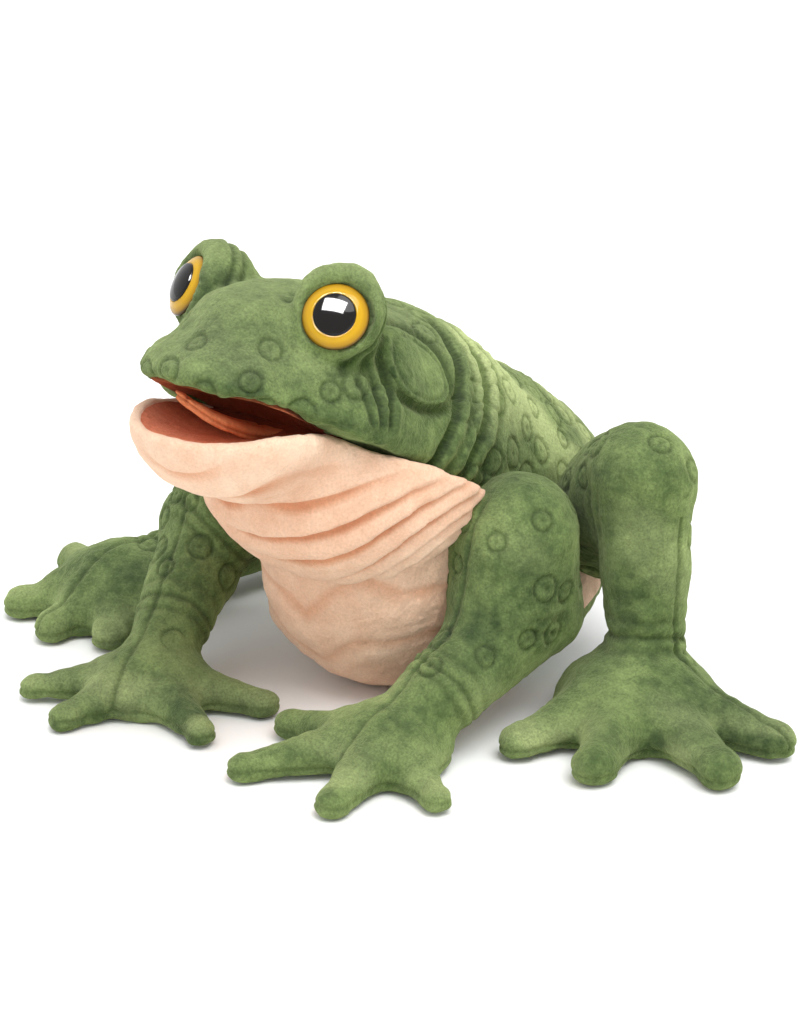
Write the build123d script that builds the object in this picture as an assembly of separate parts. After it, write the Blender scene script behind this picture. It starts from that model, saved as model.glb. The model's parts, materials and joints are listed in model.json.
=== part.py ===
"""A sitting frog hand puppet in plush, one STEP file for each piece.

Millimetres. +Z is up, the frog faces -Y and its left side is +X. The origin is in the middle of the flat
underside of the belly. The places below are laid out from a point on the floor under the frog's shoulders,
which is BELLY_REST ahead of the origin. The body is a padded sleeve, open behind and below for the hand.
"""
from build123d import *
from math import asin, cos, radians, sin
import os

# ---- driving dimensions -------------------------------------------------------------------------------
SKIN = 2.0  # plush and its backing
GAP = 0.5  # clearance between pieces that move past each other
LINING = 1.2  # thin lining cloth
BOARD = 1.6  # mouth stiffener
PADDING = 8.0  # wadding in the body wall
FAR = 400.0  # longer than anything in the puppet
FIT = 0.2  # ease between layers that are sewn or glued together
SMALLEST = 1.0  # slivers under this volume are dropped
BELLY_REST = 34.0  # from the layout's own zero back to the middle of the belly's flat underside
SWING = 12.0  # how far the legs' joints turn either way, in degrees

# torso: two barrels, each between two balls with these centres and radii
BACK = ((0, 15, 124), 58.0, (0, 114, 62), 59.0)
BELLY = ((0, 32, 58), 59.0, (0, 96, 51), 52.0)
SEAM_REAR, SEAM_SLOPE = (0, 118, 42), 27.0  # side seam of the back and belly panels, falling to the rear
OPENING_START, OPENING_SLOPE = 61.0, 37.0  # where the hand opening's plane leaves the floor, and its slope
HEM = 10.0  # width of the hem round the hand opening

# neck: a ball joint between the torso and the head
NECK = Vector(0, 12, 125)
NECK_TILT = 40.0
NECK_R = 52.0
NECK_WALL = 2.0
NECK_HALF_GAP = 11.0  # the head and the torso stop this far from the neck's middle plane
NECK_REACH = 22.0  # the neck runs this far into each

# head: its frame is at the mouth's hinge, pitched up, with the mouth plane at z = 0
MOUTH = Vector(0, -48, 145)
HEAD_PITCH = 21.0
JAW_PITCH = 11.0
SKULL = ((0, -20, 8), 50.0, (0, 80, -2), 65.0)
THROAT = ((0, 0, 24), 60.0, (0, 80, 0), 67.0)
JAW = ((0, -23, 18), 51.0, (0, 10, 20), 58.0)
PALATE = 3.0  # the linings lie this far behind the lips
CHIN_SECTOR = 58.0  # the chin reaches this far round the hinge from the lips, in degrees
THROAT_START = 1.5  # the throat starts this far behind the hinge
HINGE_R, HINGE_LENGTH = 3.0, 92.0
FINGER_POCKET = (92.0, 25.0, -54.0, 30.0)  # width, height, front and rear of the space for the fingers
THUMB_POCKET = (38.0, 22.0, -50.0, 20.0)
POCKET_INSET = 6.0  # least stuffing between a pocket and the outside
POCKET_OPEN = 10.0  # a pocket's inside runs this far past its rear end, so that it stays open
BOARD_FRONT, BOARD_REAR = 2.5, 6.0  # the stiffener ends this far inside the lip and ahead of the hinge
STUFFING_REAR = 8.0  # the stuffing over the palate starts this far behind the hinge
TONGUE = (30.0, 46.0, 2.4)  # width, length, thickness
TONGUE_ROOT = -13.0
TONGUE_GAP = 0.3  # the tongue's root lies this far over the mouth floor
TONGUE_RAISE = 5.0

# eyes, in the head's frame
EYE = Vector(41, -24, 48.5)
EYE_TURN, EYE_LIFT = 27.0, 12.0  # degrees outward and up
EYE_R, EYE_RIM, EYE_DOME = 14.0, 2.0, 4.5
PUPIL_R, PUPIL_PROUD, PUPIL_SEAT = 9.5, 0.6, 1.0
SHANK_R, SHANK_LENGTH = 2.5, 13.0
WASHER_R, WASHER_T, WASHER_DEPTH = 8.0, 1.5, 7.0
LID_TOP, LID_BACK = (0, 3, -9), (0, -4, -26)
LID_R, LID_REAR_R = 20.0, 17.0
LID_FRONT = 0.5  # the lid's rim stands this far past the back of the eye's dome
EAR_PLACE = (28.5, 32.0)  # behind the hinge and above it
EAR_SIZE, EAR_T = (38.0, 30.0), 1.5
EAR_SIDE = 30.0  # the patch lies outside this distance from the mid-plane

# legs: joint centres with the radius there, the middle of the hand or foot, and the tips of its digits
FRONT = {
    "left": dict(
        joints=[((75, 30, 86), 28), ((83, 44, 46), 20), ((71, -20, 29), 17)],
        palm=(63, -48),
        tips=[(8, -56), (22, -106), (79, -112), (118, -76)],
    ),
    "right": dict(
        joints=[((-75, 30, 86), 28), ((-87, 6, 60), 21), ((-74, -32, 30), 17)],
        palm=(-64, -60),
        tips=[(-109, -102), (-72, -119), (-3, -92), (-4, -46)],
    ),
}
PALM = (23.0, 12.0, 7.5, 10.0)  # palm's radius and half height, then a finger's radius at the tip and root
HIND = {
    "left": dict(
        joints=[((79, 103, 76), 28), ((117, 65, 115), 21), ((122, 65, 41), 15.5)],
        palm=(125, 54),
        tips=[(101, -16), (148, -20), (198, 16), (204, 60)],
    ),
    "right": dict(
        joints=[((-79, 112, 66), 28), ((-124, 104, 27), 21), ((-137, 26, 23), 16)],
        palm=(-146, 8),
        tips=[(-212, 30), (-189, -38), (-150, -54), (-114, -42)],
    ),
}
SOLE = (27.0, 13.0, 8.5, 12.5)
DIGIT_ROOT = 0.25  # where a digit starts between the middle of the palm and its tip
SOLE_SEAM = 6.5  # height of the seam between a hand's or foot's top and its sole
FLATTEN = 1.0  # the hands, feet and belly are pressed this much against the floor

os.makedirs("parts", exist_ok=True)


# ---- shapes -------------------------------------------------------------------------------------------
def ball(centre, radius):
    return Pos(*centre) * Sphere(radius)


def beyond(point, normal):
    """The half space on the side of the plane that its normal points to, as a large box."""
    return Plane(origin=point, z_dir=normal) * Pos(0, 0, FAR / 2) * Box(FAR, FAR, FAR)


def rising(angle):
    """The direction towards the frog's front that rises at this angle."""
    return Vector(0, -cos(radians(angle)), sin(radians(angle)))


def capsule(a, ra, b, rb):
    """Two balls and the cone that touches both."""
    a, b = Vector(*a), Vector(*b)
    length = (b - a).length
    lean = asin((ra - rb) / length)
    mid_a, mid_b = (lean - radians(90)) / 2, (lean + radians(90)) / 2
    side_a = (ra * cos(lean), ra * sin(lean))
    side_b = (rb * cos(lean), length + rb * sin(lean))
    outline = [
        ThreePointArc((0, -ra), (ra * cos(mid_a), ra * sin(mid_a)), side_a),
        Line(side_a, side_b),
        ThreePointArc(side_b, (rb * cos(mid_b), length + rb * sin(mid_b)), (0, length + rb)),
        Line((0, length + rb), (0, -ra)),
    ]
    profile = Plane.XZ * make_face(Curve() + outline)
    return Plane(origin=a, z_dir=b - a) * revolve(profile, Axis.Z)


def barrel(size, inset):
    a, ra, b, rb = size
    return capsule(a, ra - inset, b, rb - inset)


def swept(start, end, extra=0.0):
    """Room for a leg segment between two joints as it turns by SWING about the first."""
    (a, ra), (b, rb) = start, end
    length = (Vector(*b) - Vector(*a)).length
    return capsule(a, ra + GAP + extra, b, rb + GAP + extra + length * sin(radians(SWING)))


def torso(inset):
    """The torso's outside, drawn in by inset."""
    return barrel(BACK, inset) + barrel(BELLY, inset)


def slab(low, high, front, rear):
    """A wide slab in the head's frame between two heights and two distances behind the hinge."""
    return Pos(0, (front + rear) / 2, (low + high) / 2) * Box(FAR, rear - front, high - low)


def save(shape, name):
    shape = Pos(0, -BELLY_REST, 0) * shape
    solids = [one for one in shape.solids() if one.volume > SMALLEST]
    export_step(Compound(children=solids) if len(solids) > 1 else solids[0], f"parts/{name}.step")


HEAD = Pos(*MOUTH) * Rot(X=-HEAD_PITCH)
CHIN = Pos(*MOUTH) * Rot(X=-JAW_PITCH)
NECK_AXIS = rising(NECK_TILT)
BEHIND_HEAD = beyond(NECK + NECK_AXIS * NECK_HALF_GAP, -NECK_AXIS)
BEFORE_TORSO = beyond(NECK - NECK_AXIS * NECK_HALF_GAP, NECK_AXIS)
NECK_ROOM = ball(NECK, NECK_R + GAP)
FLOOR = Pos(0, 0, -FAR / 2) * Box(FAR * 2, FAR * 2, FAR)
ABOVE = slab(0, FAR, -FAR / 2, FAR / 2)
BELOW = slab(-FAR, 0, -FAR / 2, FAR / 2)
ROOF = PALATE + LINING + BOARD + 2 * FIT  # the pockets start this far from the mouth's plane
LINING_REAR = HINGE_R + 1  # the mouth linings stop this far ahead of the hinge
SIDES = {"left": 1, "right": -1}


# ---- torso --------------------------------------------------------------------------------------------
def below_opening(rise):
    """Everything below the hand opening's plane, raised by rise."""
    up = rising(90 - OPENING_SLOPE)
    return beyond(Vector(0, OPENING_START, 0) + up * rise, -up)


def make_torso():
    cups, deep_cups = [], []
    for side in SIDES:
        for leg in (FRONT[side], HIND[side]):
            cups.append(swept(*leg["joints"][:2]))
            deep_cups.append(swept(*leg["joints"][:2], SKIN))
    skin = torso(0) - torso(SKIN) - FLOOR
    padding = torso(SKIN) - torso(SKIN + PADDING) - FLOOR
    lining = torso(SKIN + PADDING) - torso(SKIN + PADDING + LINING) - FLOOR
    hem_room = below_opening(HEM) + BEFORE_TORSO + NECK_ROOM
    hem = (skin + padding + lining) & below_opening(HEM)
    hem -= below_opening(0)
    for cup in cups:
        hem -= cup
    save(hem, "opening_hem")
    skin -= hem_room
    padding -= hem_room
    for cup, deep_cup in zip(cups, deep_cups):
        skin -= cup
        padding -= deep_cup
    back = beyond(SEAM_REAR, rising(90 + SEAM_SLOPE))
    save(skin & back, "back_panel")
    save(skin - back, "belly_panel")
    save(padding, "body_padding")
    save(lining - hem_room, "sleeve_lining")


# ---- neck ---------------------------------------------------------------------------------------------
def neck_band(outer, inner):
    band = ball(NECK, outer) - ball(NECK, inner)
    band &= beyond(NECK - NECK_AXIS * NECK_REACH, NECK_AXIS)
    return band - beyond(NECK + NECK_AXIS * NECK_REACH, NECK_AXIS)


def make_neck():
    save(neck_band(NECK_R, NECK_R - NECK_WALL), "neck_gusset")
    save(neck_band(NECK_R - NECK_WALL, NECK_R - NECK_WALL - LINING), "neck_lining")


# ---- head ---------------------------------------------------------------------------------------------
def pocket(size, inset, extra=0.0):
    """A finger or thumb space in the head's frame, above the mouth plane: a flat rounded tunnel."""
    width, height, front, rear = size
    rear += extra
    tunnel = Box(width - 2 * inset, rear - front - inset, height - 2 * inset)
    tunnel = fillet(tunnel.edges().filter_by(Axis.Y), height / 2 - inset - 1)
    tunnel = fillet(tunnel.edges().group_by(Axis.Y)[0], height / 2 - inset - 1.5)
    return Pos(0, (front + inset + rear) / 2, ROOF + height / 2) * tunnel


def make_head():
    skull, inside = barrel(SKULL, 0), barrel(SKULL, SKIN)
    hinge_room = Rot(Y=90) * Cylinder(HINGE_R + GAP, FAR)
    room = BEHIND_HEAD + NECK_ROOM
    fingers = pocket(FINGER_POCKET, 0) & barrel(SKULL, POCKET_INSET)
    space = pocket(FINGER_POCKET, LINING, POCKET_OPEN) & barrel(SKULL, POCKET_INSET + LINING)
    save(HEAD * (fingers - space) - NECK_ROOM, "finger_pocket")
    mouth_room = slab(-FAR, ROOF - FIT, -FAR / 2, STUFFING_REAR) + BELOW
    stuffing = HEAD * (inside - fingers - mouth_room) - room
    panel = HEAD * ((skull - inside) & ABOVE - hinge_room) - room
    for side in SIDES:
        panel -= eye_room(side)
        stuffing -= eye_room(side)
    save(panel, "head_panel")
    save(stuffing, "head_stuffing")

    roof = barrel(SKULL, SKIN + FIT / 2) & slab(PALATE, PALATE + LINING, -FAR / 2, -LINING_REAR)
    save(HEAD * roof, "palate_lining")
    stiff = slab(PALATE + LINING, PALATE + LINING + BOARD, -FAR / 2, -BOARD_REAR)
    board = barrel(SKULL, SKIN + BOARD_FRONT) & stiff
    save(HEAD * board, "palate_board")
    save(HEAD * (Rot(Y=90) * Cylinder(HINGE_R, HINGE_LENGTH)), "mouth_hinge_fold")

    behind_chin = slab(-FAR, 0, THROAT_START, FAR) - hinge_room
    outer, middle, inner = (barrel(THROAT, inset) for inset in (0, SKIN, SKIN + PADDING))
    save(HEAD * ((outer - middle) & behind_chin) - room, "throat_panel")
    save(HEAD * ((middle - inner) & behind_chin) - room, "throat_padding")

    patch = barrel(SKULL, -EAR_T) - skull
    length, height = EAR_SIZE
    for side, sign in SIDES.items():
        oval = Plane(origin=(sign * EAR_SIDE, *EAR_PLACE), x_dir=(0, 1, 0), z_dir=(sign, 0, 0))
        save(HEAD * (patch & extrude(oval * SlotOverall(length, height), FAR / 4)), f"ear_patch_{side}")


# ---- eyes ---------------------------------------------------------------------------------------------
def eye_frame(side):
    sign = SIDES[side]
    return HEAD * Pos(sign * EYE.X, EYE.Y, EYE.Z) * Rot(Z=sign * EYE_TURN) * Rot(X=90 - EYE_LIFT)


def shank(extra=0.0):
    length = SHANK_LENGTH + extra
    return Pos(0, 0, -EYE_RIM - length / 2) * Cylinder(SHANK_R + extra, length)


def washer(extra=0.0):
    return Pos(0, 0, -EYE_RIM - WASHER_DEPTH) * Cylinder(WASHER_R + extra, WASHER_T + 2 * extra)


def eye_room(side):
    """Room for the whole eye, with its shank and washer, in the stuffed head."""
    seat = Pos(0, 0, -EYE_RIM + FAR / 2) * Cylinder(EYE_R, FAR)
    return eye_frame(side) * (seat + shank(FIT) + washer(FIT))


def make_eye(side):
    frame = eye_frame(side)
    dome_r = (EYE_R**2 + EYE_DOME**2) / (2 * EYE_DOME)
    front = Pos(0, 0, FAR / 2) * Box(FAR, FAR, FAR)
    dome = Pos(0, 0, EYE_DOME - dome_r) * Sphere(dome_r) & front
    rim = Pos(0, 0, -EYE_RIM / 2) * Cylinder(EYE_R, EYE_RIM)
    seat = Pos(0, 0, PUPIL_SEAT + FAR / 2) * Cylinder(PUPIL_R, FAR)
    bulge = Pos(0, 0, EYE_DOME - dome_r + PUPIL_PROUD) * Sphere(dome_r)
    save(frame * (dome + rim + shank() - seat), f"eye_iris_{side}")
    save(frame * (bulge & seat), f"eye_pupil_{side}")
    save(frame * (washer() - shank()), f"eye_washer_{side}")
    lid = capsule(LID_TOP, LID_R, LID_BACK, LID_REAR_R)
    lid &= Pos(0, 0, LID_FRONT - FAR / 2) * Box(FAR, FAR, FAR)
    save(frame * lid - eye_room(side) - HEAD * barrel(SKULL, 0), f"eyelid_{side}")


# ---- jaw and tongue -----------------------------------------------------------------------------------
def make_jaw():
    rear_face = Vector(0, -1, 0).rotate(Axis.X, CHIN_SECTOR)
    keep = beyond((0, 0, 0), rear_face.rotate(Axis.X, -90)) & BELOW
    keep -= Rot(Y=90) * Cylinder(HINGE_R + GAP, FAR)
    outside, inside = barrel(JAW, 0), barrel(JAW, SKIN)
    save(CHIN * ((outside - inside) & keep), "chin_panel")

    flip = Rot(Y=180)
    thumb = flip * pocket(THUMB_POCKET, 0) & barrel(JAW, POCKET_INSET)
    space = flip * pocket(THUMB_POCKET, LINING, POCKET_OPEN) & barrel(JAW, POCKET_INSET + LINING)
    save(CHIN * ((thumb - space) & keep), "thumb_pocket")
    over_thumb = slab(FIT - ROOF, FAR, -FAR / 2, FAR / 2)
    save(CHIN * ((inside - thumb - over_thumb) & keep), "chin_stuffing")
    level = -PALATE - LINING
    floor = barrel(JAW, SKIN + FIT / 2) & slab(level, -PALATE, -FAR / 2, -LINING_REAR)
    save(CHIN * floor, "mouth_floor_lining")
    stiff = slab(level - BOARD, level, -FAR / 2, -BOARD_REAR)
    save(CHIN * (barrel(JAW, SKIN + BOARD_FRONT) & stiff), "jaw_board")


def make_tongue():
    width, length, thickness = TONGUE
    flap = Box(width, length, thickness)
    flap = fillet(flap.edges().filter_by(Axis.Z).sort_by(Axis.Y)[:2], width / 2 - 1)
    root = Pos(0, TONGUE_ROOT, TONGUE_GAP - PALATE + thickness / 2)
    save(CHIN * root * Rot(X=-TONGUE_RAISE) * Pos(0, -length / 2, 0) * flap, "tongue")


# ---- legs ---------------------------------------------------------------------------------------------
def segment(name, start, end, clear):
    """A stuffed tube of plush between two joints, cupped for the next piece down the leg."""
    (a, ra), (b, rb) = start, end
    skin = capsule(a, ra, b, rb) - swept(*clear) - FLOOR
    fill = capsule(a, ra - SKIN, b, rb - SKIN) - swept(*clear, SKIN) - FLOOR
    save(skin - fill, name)
    save(fill, f"{name}_stuffing")


def paw(name, palm, wrist, tips, size):
    """A hand or foot: a flat palm with digits, in a top panel and a sole round the stuffing."""
    palm_r, palm_half, tip_r, root_r = size
    wrist_centre, wrist_r = wrist

    def body(inset):
        round_off = palm_half - inset - 0.5
        whole = Cylinder(palm_r - inset, 2 * (palm_half - inset))
        whole = Pos(*palm, palm_half - FLATTEN) * fillet(whole.edges(), round_off)
        whole += capsule((*palm, palm_half), palm_half - inset, wrist_centre, wrist_r - inset)
        for tip in tips:
            reach = Vector(*tip) - Vector(*palm)
            root = Vector(*palm) + reach * DIGIT_ROOT
            end = Vector(*tip) - reach.normalized() * tip_r
            start = (root.X, root.Y, root_r - FLATTEN)
            whole += capsule(start, root_r - inset, (end.X, end.Y, tip_r - FLATTEN), tip_r - inset)
        return whole - Pos(0, 0, inset) * FLOOR

    skin, fill = body(0), body(SKIN)
    upper = Pos(0, 0, SOLE_SEAM + FAR / 2) * Box(FAR * 2, FAR * 2, FAR)
    shell = skin - fill
    save(shell & upper, f"{name}_top")
    save(shell - upper, f"{name}_sole")
    save(fill, f"{name}_stuffing")


def make_leg(leg, side, names, size):
    upper, lower, end = (f"{name}_{side}" for name in names)
    first, middle, last = leg["joints"]
    palm = (*leg["palm"], size[1])
    segment(upper, first, middle, (middle, last))
    segment(lower, middle, last, (last, (palm, size[0])))
    paw(end, leg["palm"], last, leg["tips"], size)


make_torso()
make_neck()
make_head()
make_jaw()
make_tongue()
for one_side in SIDES:
    make_eye(one_side)
    make_leg(FRONT[one_side], one_side, ("upper_arm", "forearm", "hand"), PALM)
    make_leg(HIND[one_side], one_side, ("thigh", "shin", "foot"), SOLE)
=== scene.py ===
"""A plush frog hand puppet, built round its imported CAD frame.

Lengths are in millimetres until a mesh is made. Places are given in the puppet's layout frame, whose zero is on
the floor, a little in front of the neck's joint. The row frame is that frame moved by SHIFT, which comes from
where the neck's joint is.
"""

import json
import math

import bmesh
import bpy
import numpy as np
import openvdb
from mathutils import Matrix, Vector


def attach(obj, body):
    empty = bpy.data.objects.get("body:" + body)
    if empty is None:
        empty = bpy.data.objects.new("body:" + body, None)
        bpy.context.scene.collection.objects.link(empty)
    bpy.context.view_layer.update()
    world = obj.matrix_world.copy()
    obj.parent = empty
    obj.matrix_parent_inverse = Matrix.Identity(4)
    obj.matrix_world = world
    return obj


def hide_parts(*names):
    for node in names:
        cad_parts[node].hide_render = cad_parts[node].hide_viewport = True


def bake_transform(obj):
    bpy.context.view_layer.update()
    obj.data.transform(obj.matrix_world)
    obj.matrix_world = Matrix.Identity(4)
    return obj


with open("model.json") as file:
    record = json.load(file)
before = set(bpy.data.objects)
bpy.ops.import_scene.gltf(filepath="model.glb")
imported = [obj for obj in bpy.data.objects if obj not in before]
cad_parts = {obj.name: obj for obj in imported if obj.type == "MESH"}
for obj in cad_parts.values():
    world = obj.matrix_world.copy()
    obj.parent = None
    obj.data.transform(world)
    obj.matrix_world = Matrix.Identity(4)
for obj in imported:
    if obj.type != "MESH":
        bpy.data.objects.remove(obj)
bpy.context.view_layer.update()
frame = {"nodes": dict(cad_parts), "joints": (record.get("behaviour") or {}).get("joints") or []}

MM = 0.001
SIDES = {"left": 1, "right": -1}
STEP = 2.0  # size of the quads before they are subdivided
FLOOR_GAP = 0.4  # the body's skin stays this far above the floor, before its lumps are added
CREASE_DEPTH = 1.3  # a groove this deep is shaded in full


# ---- places --------------------------------------------------------------------------------------------
def turn_x(degrees):
    c, s = math.cos(math.radians(degrees)), math.sin(math.radians(degrees))
    return np.array([[1, 0, 0], [0, c, -s], [0, s, c]])


def turn_z(degrees):
    c, s = math.cos(math.radians(degrees)), math.sin(math.radians(degrees))
    return np.array([[c, -s, 0], [s, c, 0], [0, 0, 1]])


def at(*coordinates):
    return np.array(coordinates, float)


def unit(vector):
    return vector / np.linalg.norm(vector)


NECK = at(0, 12, 125)
NECK_TILT = math.radians(40)
NECK_AXIS = at(0, -math.cos(NECK_TILT), math.sin(NECK_TILT))
NAPE = 27.0  # the loose skin of the nape reaches this far on both sides of the neck's middle plane
HINGE = at(0, -48, 145)
HEAD_TURN, JAW_TURN = turn_x(-21), turn_x(-11)
SEAM_POINT, SEAM_SLOPE = at(0, 118, 42), math.radians(27)
SEAM_UP = at(0, math.sin(SEAM_SLOPE), math.cos(SEAM_SLOPE))
OPENING_POINT, OPENING_SLOPE = at(0, 61, 0), math.radians(37)
OPENING_UP = at(0, -math.sin(OPENING_SLOPE), math.cos(OPENING_SLOPE))
HEM = 10.0
EYE = at(41, -24, 48.5)  # in the head's frame
EYE_TURN, EYE_LIFT = 27, 12
EYE_R, PUPIL_R, EYE_DOME = 14.0, 8.9, 4.5
SHIFT = np.array(next(j["pos_m"] for j in frame["joints"] if j["name"] == "neck_turn")) / MM - NECK


def row(point):
    """A layout point in the row frame, in metres."""
    return tuple((np.array(point, float) + SHIFT) * MM)


def local(points, origin, turn):
    return (points - origin) @ turn


def placed(points, origin, turn):
    return np.asarray(points, float) @ turn.T + origin


def eye_frame(side):
    """The origin and turn of an eye in the head's frame; its own +Z looks out."""
    sign = SIDES[side]
    return EYE * (sign, 1, 1), turn_z(sign * EYE_TURN) @ turn_x(90 - EYE_LIFT)


# ---- fields: distance to a surface, negative inside -------------------------------------------------------
def soft_min(a, b, k):
    h = np.clip(0.5 + 0.5 * (b - a) / k, 0, 1)
    return b * (1 - h) + a * h - k * h * (1 - h)


def soft_max(a, b, k):
    return -soft_min(-a, -b, k)


def join(k, *fields):
    whole = fields[0]
    for one in fields[1:]:
        whole = soft_min(whole, one, k)
    return whole


def cone(p, a, ra, b, rb):
    a, b = np.array(a, float), np.array(b, float)
    along = b - a
    t = np.clip(((p - a) @ along) / (along @ along), 0, 1)
    return np.linalg.norm(p - a - t[:, None] * along, axis=1) - (ra + (rb - ra) * t)


def ball(p, centre, radius):
    return np.linalg.norm(p - np.array(centre, float), axis=1) - radius


def oval(p, centre, radii):
    q = p - np.array(centre, float)
    radii = np.array(radii, float)
    near = np.linalg.norm(q / radii, axis=1)
    return near * (near - 1) / np.maximum(np.linalg.norm(q / radii**2, axis=1), 1e-6)


def beyond(p, point, normal):
    """Distance past a plane, on the side that its normal points to."""
    return (p - np.array(point, float)) @ np.array(normal, float)


# ---- surface detail ------------------------------------------------------------------------------------
def waves(seed, scale, count=14):
    """A smooth random field of about unit height, with features about as large as the scale."""
    rng = np.random.default_rng(seed)
    directions = rng.normal(size=(count, 3))
    directions /= np.linalg.norm(directions, axis=1, keepdims=True)
    pitch = 2 * math.pi / (scale * rng.uniform(0.7, 1.6, count))
    phase = rng.uniform(0, 2 * math.pi, count)
    return lambda p: np.sin(p @ (directions * pitch[:, None]).T + phase).sum(1) / math.sqrt(count * 1.3)


LUMPS = [(0.85, waves(3, 46)), (0.45, waves(5, 19)), (0.2, waves(8, 8)), (0.12, waves(9, 4.5))]


def lumps(p):
    return sum(height * wave(p) for height, wave in LUMPS)


def groove(distance, width, depth):
    return -depth * np.exp(-((distance / width) ** 2))


def fade(value, start, end):
    t = np.clip((value - start) / (end - start), 0, 1)
    return t * t * (3 - 2 * t)


def rings(p, marks):
    """Stitched rings with a dimple in the middle; marks are (centre, radius)."""
    out = np.zeros(len(p))
    for centre, radius in marks:
        d = np.linalg.norm(p - centre, axis=1)
        near = d < radius * 1.6
        out[near] += groove(d[near] - radius, 0.95, 1.05) + groove(d[near], 1.2, 0.8)
    return out


def slope(field, p, d=0.7):
    g = np.stack([field(p + e) - field(p - e) for e in np.eye(3) * d], 1)
    return g / np.maximum(np.linalg.norm(g, axis=1, keepdims=True), 1e-6)


def scattered(seed, count, low, high, radius, field):
    """Ring marks scattered over the part of a surface inside a box, apart from each other."""
    rng = np.random.default_rng(seed)
    tries_each, settling, apart = 60, 5, 2.35 * radius
    tries = rng.uniform(low, high, (count * tries_each, 3))
    for _ in range(settling):
        tries = tries - slope(field, tries) * field(tries)[:, None]
    inside = np.all((tries > low) & (tries < high), axis=1)
    kept = []
    for centre in tries[inside]:
        if all(np.linalg.norm(centre - other) > apart for other, _ in kept):
            kept.append((centre, radius * rng.uniform(0.75, 1.25)))
        if len(kept) == count:
            break
    return kept


# ---- meshes --------------------------------------------------------------------------------------------
def new_object(name, verts, faces):
    mesh = bpy.data.meshes.new(name)
    mesh.from_pydata(((np.asarray(verts) + SHIFT) * MM).tolist(), [], np.asarray(faces).tolist())
    mesh.polygons.foreach_set("use_smooth", [True] * len(mesh.polygons))
    piece = bpy.data.objects.new(name, mesh)
    bpy.context.scene.collection.objects.link(piece)
    return piece


def numbers(piece, field):
    values = np.empty(len(piece.data.vertices) * 3, np.float32)
    piece.data.vertices.foreach_get(field, values)
    return values.reshape(-1, 3).astype(float)


def positions(piece):
    return numbers(piece, "co") / MM - SHIFT


def set_positions(piece, p):
    piece.data.vertices.foreach_set("co", ((p + SHIFT) * MM).astype(np.float32).ravel())
    piece.data.update()


def set_layer(piece, name, values):
    values = np.asarray(values, np.float32)
    flat = values.ndim == 1
    layer = piece.data.attributes.new(name, "FLOAT" if flat else "FLOAT_VECTOR", "POINT")
    layer.data.foreach_set("value" if flat else "vector", values.ravel())


def refine(piece):
    piece.modifiers.new("smooth", "SUBSURF").levels = 1
    graph = bpy.context.evaluated_depsgraph_get()
    mesh = bpy.data.meshes.new_from_object(piece.evaluated_get(graph))
    piece.modifiers.clear()
    piece.data = mesh
    mesh.name = piece.name


def surface_of(field, low, high, step):
    """The surface where a field is zero, as points and quads."""
    counts = np.ceil((at(*high) - at(*low)) / step).astype(int) + 1
    axes = [low[i] + step * np.arange(counts[i]) for i in range(3)]
    points = np.stack(np.meshgrid(*axes, indexing="ij"), -1).reshape(-1, 3)
    parts = np.array_split(points, max(1, len(points) // 200000))  # so that the memory stays small
    values = np.concatenate([field(part) for part in parts])
    reach = 4 * step
    grid = openvdb.FloatGrid(reach)
    grid.copyFromArray(np.clip(values, -reach, reach).reshape(counts).astype(np.float32))
    verts, quads = grid.convertToQuads(0.0)
    return np.asarray(verts, float) * step + at(*low), np.asarray(quads, int)


def skin(name, field, low, high, relief=None, pale_and_lit=None, amount=1.0, step=STEP):
    """A cloth skin over a field, with lumps and sewn detail, and the layers that its material reads."""
    piece = new_object(name, *surface_of(field, low, high, step))
    p = positions(piece)
    if np.mean(np.sum(numbers(piece, "normal") * slope(field, p), axis=1)) < 0:
        piece.data.flip_normals()
    refine(piece)
    p, n = positions(piece), numbers(piece, "normal")
    detail = relief(p, n) if relief else np.zeros(len(p))
    set_layer(piece, "rest", p * MM)
    # painted shade: grooves in the relief are darkened in the material, as much as they are deep
    set_layer(piece, "painted_shade", np.clip(-detail / CREASE_DEPTH, -1, 1))
    # partly painted light: this layer holds paler cloth and painted light, as the given function makes them
    set_layer(piece, "pale_and_lit", np.clip(pale_and_lit(p, n), 0, 1) if pale_and_lit else np.zeros(len(p)))
    set_positions(piece, p + n * (amount * lumps(p) + detail)[:, None])
    return piece


def copy_of(piece, name):
    """A copy of a piece, and its mesh opened for editing."""
    part = bpy.data.objects.new(name, piece.data.copy())
    part.data.name = name
    bpy.context.scene.collection.objects.link(part)
    bm = bmesh.new()
    bm.from_mesh(part.data)
    return part, bm


def bisect(bm, point, way, clear):
    everything = bm.verts[:] + bm.edges[:] + bm.faces[:]
    plane = dict(plane_co=row(point), plane_no=Vector(way))
    bmesh.ops.bisect_plane(bm, geom=everything, dist=1e-7, clear_inner=clear, **plane)


def cut(piece, name, *planes):
    """A copy of what is on the near side of every plane, each a (point, way in)."""
    part, bm = copy_of(piece, name)
    for point, inward in planes:
        bisect(bm, point, inward, True)
    bm.to_mesh(part.data)
    bm.free()
    return part


def far_half(piece, name, point, way, anchor, wanted=True):
    """A copy of what is beyond a plane and hangs together with the anchor, or of all the rest."""
    part, bm = copy_of(piece, name)
    bisect(bm, point, way, False)
    origin, way, anchor = Vector(row(point)), Vector(way), Vector(row(anchor))
    beyond_it = {face for face in bm.faces if (face.calc_center_median() - origin).dot(way) > 0}
    seed = min(beyond_it, key=lambda face: (face.calc_center_median() - anchor).length)
    found, to_visit = {seed}, [seed]
    while to_visit:
        for edge in to_visit.pop().edges:
            for face in edge.link_faces:
                if face in beyond_it and face not in found:
                    found.add(face)
                    to_visit.append(face)
    bmesh.ops.delete(bm, geom=[face for face in bm.faces if (face in found) != wanted], context="FACES")
    bm.to_mesh(part.data)
    bm.free()
    return part


def drop(piece):
    bpy.data.objects.remove(piece)


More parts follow.
